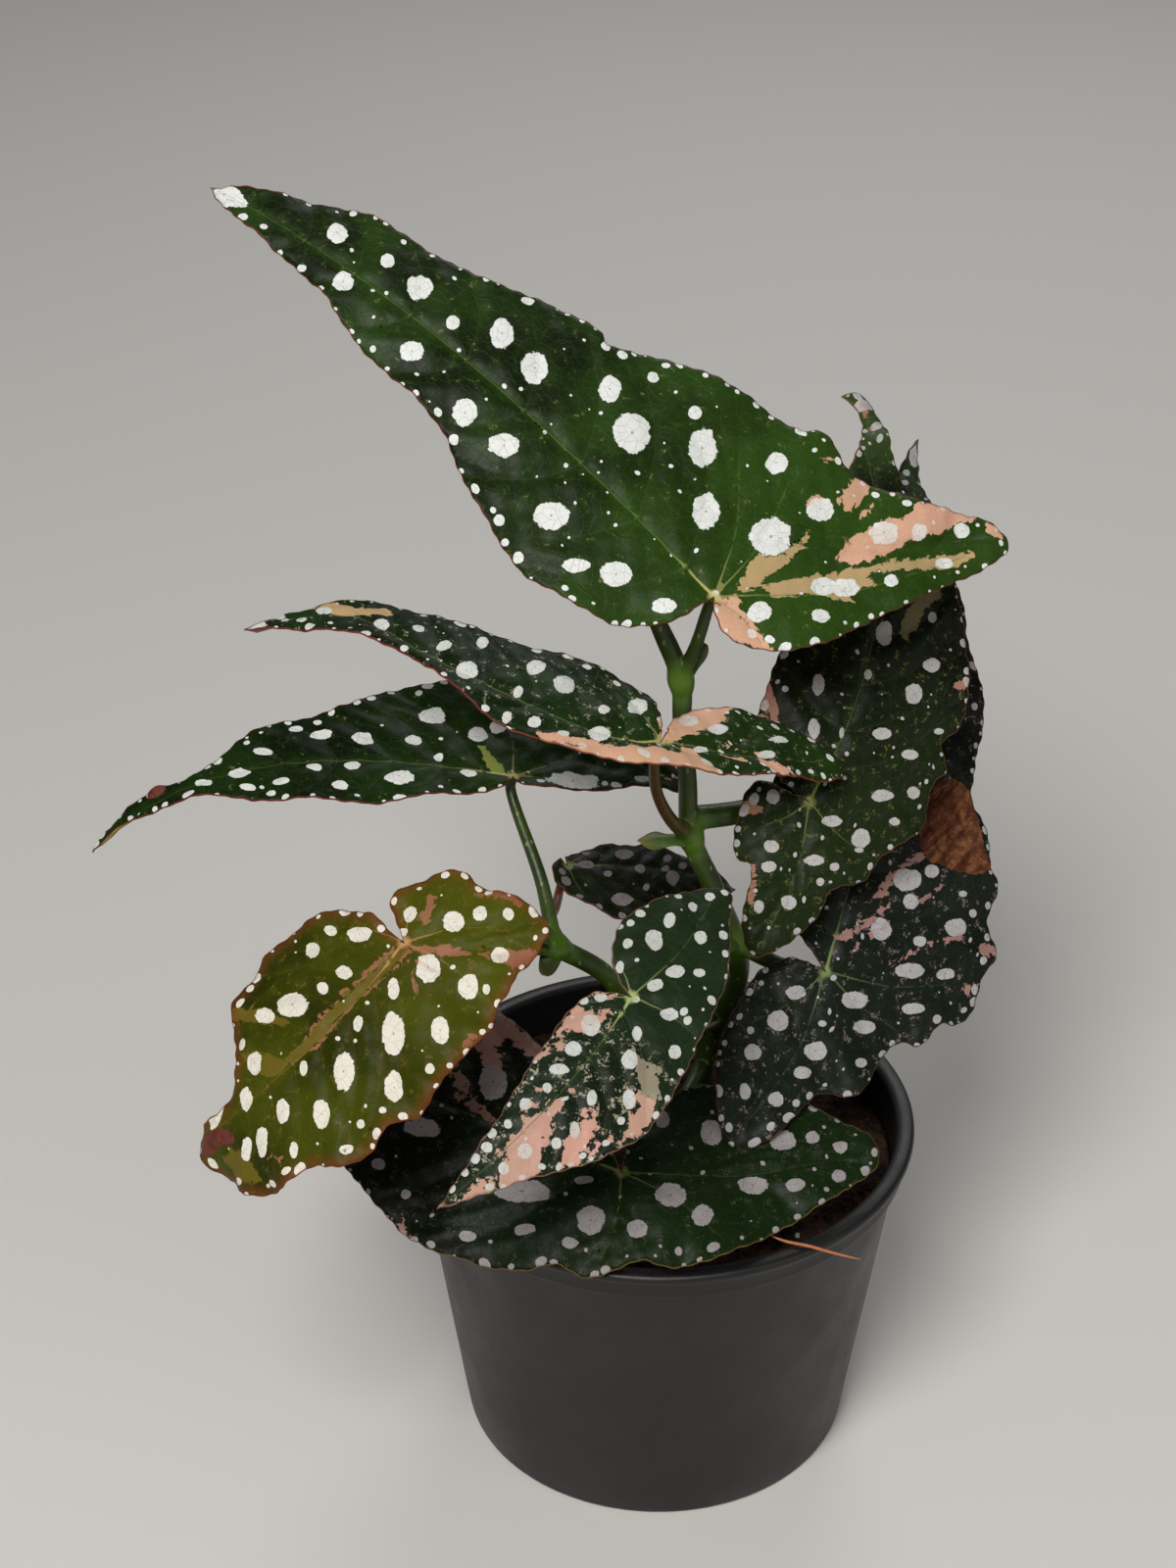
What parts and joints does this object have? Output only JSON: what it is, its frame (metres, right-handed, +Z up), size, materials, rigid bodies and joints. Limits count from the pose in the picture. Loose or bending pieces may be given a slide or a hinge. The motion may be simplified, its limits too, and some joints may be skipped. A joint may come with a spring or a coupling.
{
  "type": "potted polka dot begonia",
  "caption": "Spotted, pink-variegated angel-wing begonia with knotted green canes in a round black nursery pot",
  "frame": {"origin": "middle of the pot's flat base, on the surface it stands on", "axes": "+Z up, -Y towards the side that the front leaf hangs over, +X to the right of that side"},
  "size_m": [0.2234, 0.2044, 0.3111],
  "materials": {
    "pot": "black moulded plastic, semi-matt",
    "soil": "damp dark potting soil with bark crumbs and a few white grains",
    "cane": "smooth waxy green stem with swollen joints",
    "fibre": "dry orange-brown plant fibre",
    "blade_green": "satin leaf, silver-white spots above, wine red below",
    "blade_olive": "satin young leaf, olive with brown-pink veins and silver-white spots",
    "blade_dark": "satin old leaf, near-black green with grey spots and pink flecks"
  },
  "bodies": {
    "root": {"pot": "pot", "soil": "soil", "main_cane": "cane", "side_cane": "cane", "dry_fibre": "fibre", "leaf_top": "blade_green", "leaf_upper_left": "blade_green", "leaf_middle_left": "blade_green", "leaf_olive": "blade_olive", "leaf_front": "blade_green", "leaf_right": "blade_dark", "leaf_lower_right": "blade_dark", "leaf_rim": "blade_dark", "leaf_small": "blade_dark"}
  },
  "joints": []
}
